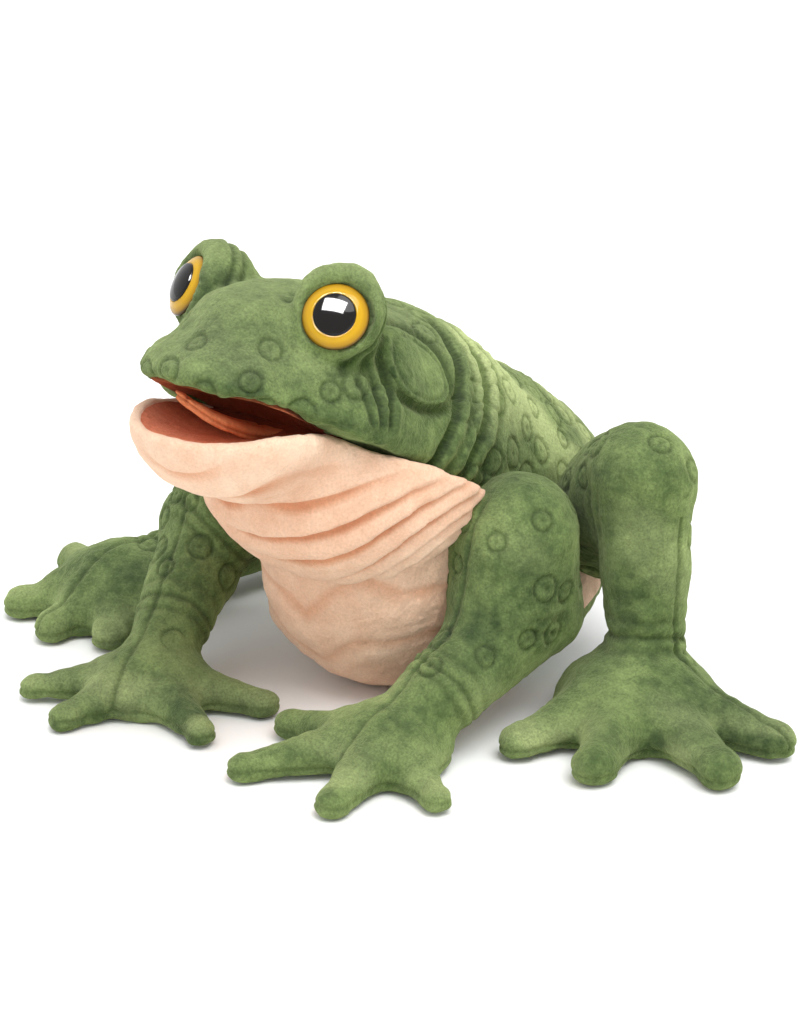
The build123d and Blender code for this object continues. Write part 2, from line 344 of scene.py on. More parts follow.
def dress(piece, material, slot, nodes=()):
    piece.data.materials.clear()
    piece.data.materials.append(material)
    if nodes:
        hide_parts(*nodes)


# ---- materials -----------------------------------------------------------------------------------------
def set_inputs(node, values):
    for key, value in values.items():
        node.inputs[key].default_value = value


def noise(nodes, links, place, scale, detail=2.0, roughness=0.5):
    node = nodes.new("ShaderNodeTexNoise")
    set_inputs(node, {"Scale": scale, "Detail": detail, "Roughness": roughness})
    links.new(place, node.inputs["Vector"])
    return node.outputs["Fac"]


def bump(nodes, links, height, strength, distance, under=None):
    """Relief from a height, on top of the relief under it."""
    node = nodes.new("ShaderNodeBump")
    set_inputs(node, {"Strength": strength, "Distance": distance})
    links.new(height, node.inputs["Height"])
    if under:
        links.new(under, node.inputs["Normal"])
    return node.outputs["Normal"]


def ramp(nodes, links, value, *stops):
    node = nodes.new("ShaderNodeValToRGB")
    elements = node.color_ramp.elements
    while len(elements) < len(stops):
        elements.new(0.5)
    for element, (place, colour) in zip(elements, stops):
        element.position = place
        element.color = (*colour, 1)
    links.new(value, node.inputs["Fac"])
    return node.outputs["Color"]


def mix(nodes, links, factor, a, b, mode="MIX"):
    node = nodes.new("ShaderNodeMix")
    node.data_type, node.blend_type = "RGBA", mode
    for value, socket in ((factor, node.inputs[0]), (a, node.inputs[6]), (b, node.inputs[7])):
        if isinstance(value, bpy.types.NodeSocket):
            links.new(value, socket)
        else:
            socket.default_value = (*value, 1) if isinstance(value, tuple) else value
    return node.outputs[2]


def layer(nodes, name):
    node = nodes.new("ShaderNodeAttribute")
    node.attribute_name = name
    return node


def shader_of(name):
    material = bpy.data.materials.new(name)
    material.use_nodes = True
    tree = material.node_tree
    return material, tree.nodes, tree.links, tree.nodes["Principled BSDF"]


def pile(name, dark, mid, light, pale_and_lit, seam, mottle=26.0, sheen=0.5, speckle=0.5):
    """Short-pile cloth: mottled, with fine fibres, with painted shade that darkens it in its creases, and paler
    where its pale layer says so, which is partly paler cloth and partly painted light.
    """
    material, nodes, links, shader = shader_of(name)
    where = layer(nodes, "rest").outputs["Vector"]
    blotches = noise(nodes, links, where, mottle, 4.0, 0.6)
    base = ramp(nodes, links, blotches, (0.38, dark), (0.5, mid), (0.62, light))
    flecks = noise(nodes, links, where, mottle * 7, 3.0, 0.6)
    base = mix(nodes, links, 0.32, base, ramp(nodes, links, flecks, (0.38, dark), (0.62, light)))
    # partly painted light: the pale colour is mixed in as the pale layer says, both paler cloth and painted
    # light
    base = mix(nodes, links, layer(nodes, "pale_and_lit").outputs["Fac"], base, pale_and_lit)
    fibres = noise(nodes, links, where, 900.0, 2.0, 0.7)
    dust = ramp(nodes, links, fibres, (0.3, (0.6, 0.6, 0.6)), (0.7, (1.3, 1.3, 1.3)))
    base = mix(nodes, links, speckle, base, dust, "MULTIPLY")
    # painted shade: the seam colour is multiplied into the cloth in its grooves and folds, and deep in the
    # mouth
    base = mix(nodes, links, layer(nodes, "painted_shade").outputs["Fac"], base, seam, "MULTIPLY")
    links.new(base, shader.inputs["Base Color"])
    set_inputs(shader, {"Roughness": 0.95, "Specular IOR Level": 0.12})
    set_inputs(shader, {"Sheen Weight": sheen, "Sheen Roughness": 0.5, "Sheen Tint": (*pale_and_lit, 1)})
    fine = bump(nodes, links, noise(nodes, links, where, 1500.0, 3.0, 0.75), 0.55, 0.0007)
    coarse = bump(nodes, links, noise(nodes, links, where, 300.0, 3.0, 0.65), 0.6, 0.002, fine)
    links.new(coarse, shader.inputs["Normal"])
    return material


def gloss(name, *stops):
    """Moulded plastic, coloured by the distance from the eye's middle."""
    material, nodes, links, shader = shader_of(name)
    links.new(ramp(nodes, links, layer(nodes, "radius").outputs["Fac"], *stops), shader.inputs["Base Color"])
    set_inputs(shader, {"Roughness": 0.08, "Specular IOR Level": 0.15})
    set_inputs(shader, {"Coat Weight": 0.25, "Coat Roughness": 0.02})
    return material


def plain(name, colour, roughness, grain):
    """Moulded sheet or washer plastic with a fine grain."""
    material, nodes, links, shader = shader_of(name)
    where = nodes.new("ShaderNodeTexCoord").outputs["Object"]
    fleck = noise(nodes, links, where, grain, 3.0)
    darker = tuple(0.85 * value for value in colour)
    links.new(ramp(nodes, links, fleck, (0.35, darker), (0.65, colour)), shader.inputs["Base Color"])
    set_inputs(shader, {"Roughness": roughness})
    links.new(bump(nodes, links, fleck, 0.2, 0.0003), shader.inputs["Normal"])
    return material


# Each cloth's seam colour is painted shade, multiplied into its grooves and creases; its pale colour is partly
# paler cloth and partly painted light.
GREEN = pile(
    "green_plush",
    dark=(0.030, 0.060, 0.014),
    mid=(0.082, 0.130, 0.036),
    light=(0.178, 0.245, 0.080),
    pale_and_lit=(0.46, 0.53, 0.235),
    seam=(0.32, 0.38, 0.26),
    speckle=0.8,
)
PEACH = pile(
    "peach_velour",
    dark=(0.74, 0.45, 0.30),
    mid=(0.80, 0.53, 0.37),
    light=(0.87, 0.63, 0.46),
    pale_and_lit=(0.92, 0.75, 0.60),
    seam=(0.80, 0.55, 0.42),
    mottle=14.0,
    sheen=0.3,
    speckle=0.25,
)
MOUTH = pile(
    "mouth_cloth",
    dark=(0.58, 0.145, 0.06),
    mid=(0.72, 0.20, 0.09),
    light=(0.82, 0.27, 0.13),
    pale_and_lit=(0.85, 0.30, 0.15),
    seam=(0.34, 0.22, 0.2),
    mottle=30.0,
    sheen=0.2,
    speckle=0.3,
)
TONGUE = pile(
    "tongue_cloth",
    dark=(0.60, 0.17, 0.065),
    mid=(0.72, 0.23, 0.09),
    light=(0.82, 0.30, 0.13),
    pale_and_lit=(0.85, 0.36, 0.17),
    seam=(0.6, 0.45, 0.4),
    mottle=30.0,
    sheen=0.2,
    speckle=0.3,
)
LINING = pile(
    "lining_cloth",
    dark=(0.02, 0.025, 0.02),
    mid=(0.03, 0.035, 0.03),
    light=(0.045, 0.05, 0.045),
    pale_and_lit=(0.06, 0.065, 0.06),
    seam=(0.6, 0.6, 0.6),
    mottle=60.0,
    sheen=0.1,
)
GOLD = gloss(
    "eye_gold",
    (0.0, (0.56, 0.31, 0.008)),
    (0.74, (0.56, 0.32, 0.008)),
    (0.87, (0.38, 0.20, 0.006)),
    (0.93, (0.06, 0.035, 0.008)),
)
BLACK = gloss("eye_black", (0.0, (0.005, 0.004, 0.0035)), (1.0, (0.004, 0.0035, 0.003)))
BOARD = plain("stiffener", (0.55, 0.52, 0.46), 0.6, 700.0)
WASHER = plain("washer_plastic", (0.70, 0.70, 0.67), 0.35, 400.0)


# ---- body and head -------------------------------------------------------------------------------------
def torso_field(p):
    back = cone(p, (0, 15, 124), 58, (0, 114, 62), 60)
    belly = cone(p, (0, 30, 56), 56, (0, 96, 51), 52)
    chest = oval(p, (0, 17, 84), (52, 47, 46))
    beside = np.stack([np.abs(p[:, 0]), p[:, 1], p[:, 2]], 1)
    skirt = cone(beside, (42, 60, 20), 20, (51, 100, 36), 23)
    return join(14, join(9, back, skirt), belly, chest)


def lip_rise(y):
    """The upper lip rises towards the front of the muzzle, above the mouth's plane."""
    return 0.17 * np.maximum(-y - 2, 0) - 3.2 * fade(-y, 44, 64)


def lip_fall(y):
    """The lower lip is highest halfway along its sides, and falls a little towards its front."""
    return 0.05 * np.maximum(-y - 10, 0) - 4.5 * np.sin(math.pi * np.clip(-y / 60, 0, 1))


def skull_field(q):
    """The head in its own frame, before the mouth is cut: a blunt muzzle, a wide crown and the nape."""
    muzzle = oval(q, (0, -25, 9), (41, 43, 28))
    cheeks = oval(q, (0, -3, 4), (52, 34, 30))
    crown = oval(q, (0, 8, 9), (56, 48, 51))
    rear = cone(q, (0, 24, 2), 58, (0, 80, -2), 62)
    forehead = oval(q, (0, -22, 28), (27, 33, 27))
    return join(13, join(9, muzzle, cheeks, forehead), crown, rear)


def lid_field(q, side):
    e = local(q, *eye_frame(side))
    return cone(e, (0, 3.5, -9.5), 20.5, (0, -4, -28), 17.5)


def eye_seat(q, side):
    """The room for an eye: a bore with a wide, shallow front."""
    e = local(q, *eye_frame(side))
    reach = np.hypot(e[:, 0], e[:, 1])
    bore = np.maximum(reach - EYE_R - 0.5, -2.5 - e[:, 2])
    front = np.maximum(reach - EYE_R - 9, 1.4 - e[:, 2])
    return soft_min(bore, front, 2)


def body_field(p):
    """The green and peach skin from muzzle to rump, without the legs and the throat."""
    q = local(p, HINGE, HEAD_TURN)
    head = skull_field(q)
    for side in SIDES:
        head = join(2.8, head, lid_field(q, side))
    level = q.copy()
    level[:, 2] -= lip_rise(q[:, 1])
    lip = np.where(q[:, 1] < 0, -level[:, 2], -q[:, 2] - 0.12 * q[:, 1])
    head = soft_max(head, lip, 5)
    roof = np.maximum(oval(level, (0, -22, 0), (37, 36, 24)), level[:, 2] - 12)
    head = soft_max(head, -roof, 2.5)
    whole = join(10, head, torso_field(p))
    for side in SIDES:
        whole = soft_max(whole, -eye_seat(q, side), 1.5)
    return np.maximum(whole, FLOOR_GAP - p[:, 2])


EAR_CENTRE, EAR_HALF = at(27, 37), at(24, 15)  # behind the hinge and above it, in the head's frame


def ear_outline(q):
    """About how far a point is outside the ear patch's rounded outline, seen from the side."""
    u = (q[:, 1] - EAR_CENTRE[0]) / EAR_HALF[0]
    v = (q[:, 2] - EAR_CENTRE[1] + 3 * q[:, 1] / 50) / EAR_HALF[1]
    reach = (np.abs(u) ** 2.4 + np.abs(v) ** 2.4) ** (1 / 2.4)
    return (reach - 1) * EAR_HALF[1]


def nape_folds(p):
    """Upright folds in the loose cloth behind the ears."""
    along = beyond(p, NECK, NECK_AXIS)
    d = p - NECK
    round_neck = np.arctan2(np.abs(d[:, 0]), d @ unit(np.cross([1, 0, 0], NECK_AXIS)))
    wander = 2.6 * np.sin(2.1 * round_neck + 0.4) + 1.6 * np.sin(5.3 * round_neck)
    shape = np.zeros(len(p))
    for place, depth, width in ((17, 4.2, 2.4), (8, 1.4, 3.0), (-2, 3.2, 3.0), (-13, 1.5, 3.4)):
        shape += groove(along - place - wander, width, depth)
    for place, height, width in ((12, 1.2, 4.0), (2.5, 1.0, 4.0), (-8.5, 1.1, 4.5)):
        shape += height * np.exp(-(((along - place - wander) / width) ** 2))
    return shape * fade(np.abs(p[:, 0]), 14, 40) * fade(p[:, 2], 88, 108)


def cheek_folds(q):
    """Short folds between the eye and the ear patch, above the mouth's corner."""
    out = np.zeros(len(q))
    for y, lean, depth in ((4.5, 0.10, 2.2), (-2.5, 0.28, 1.8), (-9, 0.45, 1.3)):
        line = q[:, 1] - y + lean * (q[:, 2] - 20)
        out += groove(line, 1.7, depth) + 0.5 * depth * np.exp(-(((line - 3.2) / 2.2) ** 2))
    return out * fade(np.abs(q[:, 0]), 25, 40) * fade(q[:, 2], 3, 12) * fade(-q[:, 2], -36, -24)


def brow_folds(q):
    out = np.zeros(len(q))
    for side in SIDES:
        e = local(q, *eye_frame(side))
        reach = np.hypot(e[:, 0], e[:, 1] - 2)
        out += groove(e[:, 2] + 7.5 + 0.05 * reach, 1.5, 1.4) * fade(reach, 12, 16) * fade(-reach, -27, -23)
        out += groove(e[:, 2] + 14, 1.8, 1.3) * fade(reach, 12, 16) * fade(-reach, -27, -23)
    return out


MUZZLE_RINGS = scattered(11, 46, at(-58, -118, 150), at(58, -34, 194), 5.1, body_field)
BACK_RINGS = scattered(12, 90, at(-64, 14, 84), at(64, 165, 190), 6.0, body_field)


def body_relief(p, n):
    q = local(p, HINGE, HEAD_TURN)
    clear = np.ones(len(p))
    for side in SIDES:
        clear *= fade(np.linalg.norm(local(q, *eye_frame(side)) - (0, 2, -10), axis=1), 22, 27)
    ear = ear_outline(q)
    beside = fade(np.abs(q[:, 0]), 18, 26)
    off_ear = fade(ear, 1, 5) + (1 - beside)
    out = rings(p, MUZZLE_RINGS) * clear * fade(q[:, 2], 4, 10) * np.clip(off_ear, 0, 1)
    out += rings(p, BACK_RINGS) * fade(beyond(p, SEAM_POINT, SEAM_UP), 4, 9)
    out += nape_folds(p) + cheek_folds(q) * clear + brow_folds(q)
    out += groove(ear - 1.2, 2.0, 2.6) * beside
    seam = beyond(p, SEAM_POINT, SEAM_UP)
    out += groove(seam, 1.6, 1.6)
    out += groove(q[:, 2] - 5.5 - 0.4 * np.sin(q[:, 0] * 0.5), 1.1, 0.5) * (q[:, 1] < -5) * (q[:, 1] > -80)
    rump_seam = groove(p[:, 0], 1.5, 1.3) * fade(p[:, 1], 40, 60) * (seam > 0)
    drapes = chest_drapes(p) * fade(-seam, 0, 6)
    return out + rump_seam + drapes


BELLY_WAVES = waves(21, 44)


def chest_drapes(p):
    """Slack cloth on the chest hangs in a few low swags, from shoulder to shoulder."""
    phase = (p[:, 2] - 0.5 * np.abs(p[:, 0]) + 0.25 * p[:, 1]) / 22 + 0.22 * BELLY_WAVES(p)
    part = phase - np.floor(phase)
    swag = np.sin(math.pi * part) ** 1.5 + 0.35 * np.exp(-(((part - 0.12) / 0.1) ** 2))
    return 1.3 * (swag - 0.5) * fade(-p[:, 1], -60, 0) * fade(p[:, 2], 4, 24)


PALE_WAVES, DUSK_WAVES = waves(31, 60), waves(33, 34)


def body_pale_and_top_light(p, n):
    """Yellower, lighter cloth in patches on the back, and painted top light: the patches show most where the
    back faces up, and all cloth facing up is a little paler.
    """
    on_back = fade(p[:, 1], 5, 60) * fade(n[:, 2], -0.1, 0.7)
    patches = fade(PALE_WAVES(p) + 0.5 * DUSK_WAVES(p), -0.4, 0.9)
    return 0.85 * on_back * patches + 0.15 * fade(n[:, 2], 0.2, 0.9)


def make_body():
    whole = skin("body", body_field, (-76, -128, -6), (76, 182, 232), body_relief, body_pale_and_top_light)
    over_seam, under_seam = (SEAM_POINT, SEAM_UP), (SEAM_POINT, -SEAM_UP)
    kept = (OPENING_POINT + (HEM - 2) * OPENING_UP, OPENING_UP)
    front, middle, rear = NECK + NAPE * NECK_AXIS, NECK, NECK - NAPE * NECK_AXIS
    back = cut(whole, "back_plush", over_seam, kept, (rear, -NECK_AXIS))
    dress(back, GREEN, "green_plush", ["back_panel", "body_padding"])
    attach(back, "torso")
    belly = cut(whole, "belly_velour", under_seam, kept)
    dress(belly, PEACH, "peach_velour", ["belly_panel"])
    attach(belly, "torso")
    nape_rear = cut(whole, "nape_plush_rear", over_seam, kept, (rear, NECK_AXIS), (middle, -NECK_AXIS))
    dress(nape_rear, GREEN, "green_plush", ["neck_gusset"])
    row(rear)
    row(middle)
    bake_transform(nape_rear)
    nape_front = cut(whole, "nape_plush_front", over_seam, (middle, NECK_AXIS), (front, -NECK_AXIS))
    dress(nape_front, GREEN, "green_plush", ["neck_lining"])
    row(middle)
    row(front)
    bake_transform(nape_front)
    head = cut(whole, "head_plush", over_seam, (front, NECK_AXIS))
    replaced = ["head_panel", "head_stuffing", "eyelid_left", "eyelid_right"]
    dress(head, GREEN, "green_plush", replaced)
    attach(head, "head")
    drop(whole)


def make_ear(side):
    sign = SIDES[side]

    def field(p):
        q = local(p, HINGE, HEAD_TURN)
        base = body_field(p)
        patch = soft_max(soft_max(base - 1.8, ear_outline(q) + 1.0, 1.8), -base - 4, 1)
        return np.maximum(patch, 15 - sign * p[:, 0])

    def relief(p, n):
        q = local(p, HINGE, HEAD_TURN)
        return groove(ear_outline(q) + 3.4, 0.8, 0.7)

    from_x, to_x = (20, 72) if sign > 0 else (-72, -20)
    low, high = (from_x, -42, 138), (to_x, 22, 196)
    ear = skin(f"ear_plush_{side}", field, low, high, relief, None, 0.9, STEP * 0.7)
    dress(ear, GREEN, "green_plush", [f"ear_patch_{side}"])
    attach(ear, "head")


# ---- hand opening --------------------------------------------------------------------------------------
def make_opening():
    def hem_field(p):
        body = np.maximum(torso_field(p), FLOOR_GAP - p[:, 2])
        rise = beyond(p, OPENING_POINT, OPENING_UP)
        return soft_max(np.abs(body + 4.5) - 5.2, np.abs(rise - HEM / 2) - HEM / 2, 4)

    def relief(p, n):
        return groove(beyond(p, OPENING_POINT, OPENING_UP) - 7.5, 0.9, 0.8)

    def edge(p, n):
        return 0.25 * np.ones(len(p))

    hem = skin("opening_hem_plush", hem_field, (-70, 36, -6), (70, 184, 118), relief, edge, 0.7)
    dress(hem, GREEN, "green_plush", ["opening_hem"])
    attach(hem, "torso")

    def inside(p):
        return np.maximum(torso_field(p) + 9.5, 4 - p[:, 2])

    sleeve = skin("sleeve_cloth_whole", inside, (-62, -40, -2), (62, 176, 180), None, None, 1.3, STEP * 1.4)
    sleeve.data.flip_normals()
    lining = cut(sleeve, "sleeve_cloth", (OPENING_POINT + 4 * OPENING_UP, OPENING_UP), (NECK, -NECK_AXIS))
    dress(lining, LINING, "lining_cloth", ["sleeve_lining"])
    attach(lining, "torso")
    drop(sleeve)


# ---- throat, chin, mouth and tongue --------------------------------------------------------------------
FOLD_AXIS = NECK + (0, 42, 0)  # the throat's folds fan out from a line across the neck, behind its joint
THROAT_WAVES = waves(41, 46)
MOUTH_DEPTH = 9.0  # from the lower lip to the bottom of the room in the jaw
BOARD_HALF, BOARD_EDGE = 1.1, 7  # half a stiffener's thickness, and how far in from the skin it ends
BOARD_START = 6  # how far in front of the hinge a stiffener starts


def chin_field(j):
    return oval(j, (0, -23, 1), (44, 44.5, 32))


def pouch_field(p):
    q, j = local(p, HINGE, HEAD_TURN), local(p, HINGE, JAW_TURN)
    throat = oval(p, NECK + (0, -5, 0), (71, 70, 66))
    pouch = join(15, chin_field(j), throat)
    lip = j[:, 2] + lip_fall(j[:, 1])
    border = q[:, 2] + 0.12 * q[:, 1]
    pouch = soft_max(pouch, np.where(j[:, 1] < -2, lip, np.maximum(border, lip)), 3.5)
    room = np.maximum(oval(j, (0, -24, 0), (38, 37.5, 26)), -MOUTH_DEPTH - lip)
    pouch = soft_max(pouch, -room, 2.5)
    under = beyond(p, (0, 3, 66), (0, 0.62, -0.78)) + 0.27 * np.abs(p[:, 0])
    pouch = soft_max(pouch, under, 2.5)
    return soft_max(pouch, -26 - beyond(p, NECK, NECK_AXIS), 2.5)


def pouch_relief(p, n):
    """Overlapping swags slung between the sides of the neck; each swells, then drops back at its lower edge."""
    d = p - FOLD_AXIS
    angle = np.degrees(np.arctan2(-d[:, 2], -d[:, 1]))
    sling = 15 * np.clip(1 - (p[:, 0] / 62) ** 2, 0, 1)
    sweep = (angle - sling + 22) / 7.6 + 0.30 * THROAT_WAVES(p)
    part = sweep - np.floor(sweep)
    swag = np.sin(0.5 * math.pi * np.clip(part / 0.78, 0, 1)) * (1 - fade(part, 0.8, 1.0))
    j = local(p, HINGE, JAW_TURN)
    depth = -np.where(j[:, 1] < 0, j[:, 2], j[:, 2] + 0.06 * j[:, 1])
    return (1.3 + 3.2 * fade(depth, 10, 42)) * (swag - 0.55) * fade(depth, 7, 18)


def make_pouch():
    pouch = skin("throat_velour", pouch_field, (-80, -136, 44), (80, 44, 182), pouch_relief, None, 0.8)
    replaced = ["throat_panel", "throat_padding", "chin_panel", "chin_stuffing"]
    dress(pouch, PEACH, "peach_velour", replaced)
    row((0, -30, 112))
    row((0, -72, 134))
    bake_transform(pouch)


def make_mouth():
    """One sheet: the palate, the fold at the hinge and the mouth's floor."""
    across, along, bend = 48, 40, 8
    u = np.linspace(-1, 1, across + 1)
    halves = []
    for turn, way, half_width, middle, front, hollow in (
        (HEAD_TURN, 1, 38.8, 22, 60.5, 9.5),
        (JAW_TURN, -1, 39.6, 24, 63.4, 7.0),
    ):
        half = []
        for t in np.linspace(1, 0, along + 1):
            y = -(front - 1.2) * t - 1
            wide = half_width * math.sqrt(max(1e-4, 1 - max(0.0, (-y - middle) / (front - middle)) ** 2))
            arch = hollow * (1 - np.abs(u) ** 2.6) * (1 - abs(2 * t - 1) ** 2.4)
            level = lip_rise(y) - 0.2 if way > 0 else -lip_fall(y) - 0.9
            points = np.stack([u * wide, np.full(across + 1, y), level + way * arch], 1)
            half.append(placed(points, HINGE, turn))
        halves.append(half)
    upper, lower = halves
    fold = []
    for step in range(1, bend):
        t = step / bend
        back = at(0, 3.2 * math.sin(math.pi * t), 0)
        fold.append(upper[-1] * (1 - t) + lower[-1] * t + back)
    rows = upper + fold + lower[::-1]
    verts = np.concatenate(rows)
    wide = across + 1
    faces = [
        (r * wide + c, r * wide + c + 1, (r + 1) * wide + c + 1, (r + 1) * wide + c)
        for r in range(len(rows) - 1)
        for c in range(across)
    ]
    sheet = new_object("mouth_cloth", verts, faces)
    p, n = positions(sheet), numbers(sheet, "normal")
    centre = HINGE + (0, -30, 0)
    if np.mean(np.sum(n * (centre - p), axis=1)) < 0:
        sheet.data.flip_normals()
    refine(sheet)
    p, n = positions(sheet), numbers(sheet, "normal")
    set_layer(sheet, "rest", p * MM)
    # painted shade: the sheet is darkened towards the hinge, deep in the mouth
    set_layer(sheet, "painted_shade", fade(local(p, HINGE, HEAD_TURN)[:, 1], -46, -6))
    set_layer(sheet, "pale_and_lit", np.zeros(len(p)))
    set_positions(sheet, p + n * (0.35 * lumps(p))[:, None])
    dress(sheet, MOUTH, "mouth_cloth", ["palate_lining", "mouth_hinge_fold", "mouth_floor_lining"])
    up = HEAD_TURN @ at(0, 0, 0.6)
    row(HINGE + up)
    row(HINGE - up)
    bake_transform(sheet)


def tongue_rise(t):
    """The height of the tongue's middle sheet: it lifts towards its tip and leans to one side."""
    run = np.clip((-t[:, 1] - 4) / 54, 0, 1.3)
    return -4.5 + 17.0 * run**1.5 - 0.34 * run * t[:, 0]


def make_tongue():
    """A stuffed flap with a rolled edge and a groove down its middle, curling up towards its tip."""

    def field(p):
        t = local(p, HINGE, JAW_TURN)
        run = -t[:, 1] - 4
        edge = np.maximum(np.hypot(t[:, 0], np.clip(run - 37, 0, None)) - 14.5, -run)
        return soft_max(np.abs(t[:, 2] - tongue_rise(t)) - 2.9, edge, 3.0) * 0.9

    def relief(p, n):
        t = local(p, HINGE, JAW_TURN)
        edge = groove(t[:, 2] - tongue_rise(t) + 0.6, 0.8, 1.1) * fade(-np.abs(n[:, 2]), -0.8, -0.5)
        return groove(t[:, 0], 1.5, 1.0) * (n[:, 2] > 0) + edge

    tongue = skin("tongue_plush", field, (-22, -122, 136), (22, -50, 186), relief, None, 0.5, STEP * 0.6)
    dress(tongue, TONGUE, "tongue_cloth", ["tongue"])
    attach(tongue, "tongue")


def make_pockets():
    """Cloth pockets for the fingers and the thumb, and the two stiffeners, inside the head and the jaw."""

    def fingers(p):
        q = local(p, HINGE, HEAD_TURN)
        tunnel = soft_max(np.abs(q[:, 0]) - 38, np.abs(q[:, 2] - 25 - lip_rise(q[:, 1]) * 0.5) - 8, 8)
        return soft_max(soft_max(tunnel, np.abs(q[:, 1] + 10) - 36, 6), skull_field(q) + 7, 3)

    def thumb(p):
        j = local(p, HINGE, JAW_TURN)
        tunnel = soft_max(np.abs(j[:, 0]) - 16, np.abs(j[:, 2] + 19) - 6, 5)
        return soft_max(soft_max(tunnel, np.abs(j[:, 1] + 18) - 26, 6), pouch_field(p) + 6, 3)

    def palate(p):
        q = local(p, HINGE, HEAD_TURN)
        height = q[:, 2] - lip_rise(q[:, 1]) - 14
        plate = np.maximum(np.abs(height) - BOARD_HALF, q[:, 1] + BOARD_START)
        return np.maximum(plate, skull_field(q) + BOARD_EDGE)

    def jaw(p):
        j = local(p, HINGE, JAW_TURN)
        # Its outline is the chin's, not the pouch's: the pouch is hollow above it, and too thin to hold it.
        height = j[:, 2] + lip_fall(j[:, 1]) + MOUTH_DEPTH + 3
        plate = np.maximum(np.abs(height) - BOARD_HALF, j[:, 1] + BOARD_START)
        return np.maximum(plate, chin_field(j) + BOARD_EDGE)

    low, high = (-60, -124, 100), (60, 4, 216)
    for name, field, node, slot, material, body, step in (
        ("finger_pocket_cloth", fingers, "finger_pocket", "lining_cloth", LINING, "head", 2.0),
        ("thumb_pocket_cloth", thumb, "thumb_pocket", "lining_cloth", LINING, "jaw", 2.0),
        ("palate_board_plate", palate, "palate_board", "stiffener", BOARD, "head", 1.3),
        ("jaw_board_plate", jaw, "jaw_board", "stiffener", BOARD, "jaw", 1.3),
    ):
        piece = skin(name, field, low, high, None, None, 0.2, step)
        dress(piece, material, slot, [node])
        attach(piece, body)


# ---- eyes ----------------------------------------------------------------------------------------------
def lathe(name, profile, side, around=96):
    """A profile of (radius, height) spun about an eye's axis."""
    origin, turn = eye_frame(side)
    verts = []
    for radius, height in profile:
        for i in range(around):
            a = 2 * math.pi * i / around
            verts.append((radius * math.cos(a), radius * math.sin(a), height))
    faces = []
    for below in range(0, (len(profile) - 1) * around, around):
        above = below + around
        for i in range(around):
            after = (i + 1) % around
            faces.append((below + i, below + after, above + after, above + i))
    in_head = placed(verts, origin, turn)
    piece = new_object(name, placed(in_head, HINGE, HEAD_TURN), faces)
    set_layer(piece, "radius", np.hypot(np.array(verts)[:, 0], np.array(verts)[:, 1]) / (EYE_R + 1))
    return piece


def make_eye(side):
    dome = (EYE_R**2 + EYE_DOME**2) / (2 * EYE_DOME)

    def height(radius):
        return math.sqrt(dome * dome - radius * radius) - dome + EYE_DOME

    flange = [(EYE_R - 3, -2.0), (EYE_R - 0.6, -2.0), (EYE_R, -1.5), (EYE_R, -0.4), (EYE_R - 0.5, 0.15)]
    face = [(radius, height(radius)) for radius in np.linspace(EYE_R - 0.9, PUPIL_R + 0.5, 10)]
    step = [(PUPIL_R + 0.15, height(PUPIL_R) - 0.15), (PUPIL_R - 0.1, height(PUPIL_R) - 0.9)]
    iris = lathe(f"eye_iris_gloss_{side}", flange + face + step, side)
    dress(iris, GOLD, "eye_gold", [f"eye_iris_{side}"])
    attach(iris, "head")
    bulge = [(PUPIL_R, height(PUPIL_R) - 0.9), (PUPIL_R, height(PUPIL_R) + 0.05)]
    bulge += [(radius, height(radius) + 0.55) for radius in np.linspace(PUPIL_R - 0.35, 0.02, 30)]
    pupil = lathe(f"eye_pupil_gloss_{side}", bulge, side)
    dress(pupil, BLACK, "eye_black", [f"eye_pupil_{side}"])
    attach(pupil, "head")
    for material_slot in frame["nodes"][f"eye_washer_{side}"].material_slots:
        material_slot.material = WASHER


# ---- legs ----------------------------------------------------------------------------------------------
LEGS = {
    "hand_left": dict(
        joints=[((74, 30, 85), 29.5), ((79, 39, 50), 20.5), ((71, -20, 29), 18.5)],
        palm=(63, -46),
        tips=[(4, -51), (18, -101), (76, -105), (112, -71)],
        bulge=((75, 20, 62), 24.5),
        split=0.62,
    ),
    "hand_right": dict(
        joints=[((-74, 30, 86), 29.5), ((-86, 6, 60), 23), ((-74, -32, 30), 18.5)],
        palm=(-64, -60),
        tips=[(-114, -96), (-76, -113), (-8, -84), (-6, -38)],
        bulge=((-79, 14, 72), 25),
        split=0.62,
    ),
    "foot_left": dict(
        joints=[((77, 103, 76), 30), ((117, 65, 115), 22), ((122, 65, 41), 18)],
        palm=(125, 54),
        tips=[(99, -14), (144, -14), (194, 21), (200, 65)],
        bulge=((97, 84, 96), 25),
        split=0.78,
    ),
    "foot_right": dict(
        joints=[((-77, 112, 66), 30), ((-124, 104, 28), 22), ((-137, 26, 23), 17)],
        palm=(-146, 8),
        tips=[(-212, 34), (-192, -32), (-153, -47), (-117, -36)],
        bulge=((-100, 108, 48), 25),
        split=0.62,
    ),
}
HAND = dict(parts=("upper_arm", "forearm", "hand"), palm=(28, 26, 19), rise=11.0, root=14.0, tip=7.0)
FOOT = dict(parts=("thigh", "shin", "foot"), palm=(39, 35, 29), rise=12.5, root=19.0, tip=9.0)
SOLE_SEAM = 6.5


def joints_of(leg):
    """The places of a leg's three joints, and the tube's radii there."""
    return [at(*place) for place, _ in leg["joints"]], [radius for _, radius in leg["joints"]]


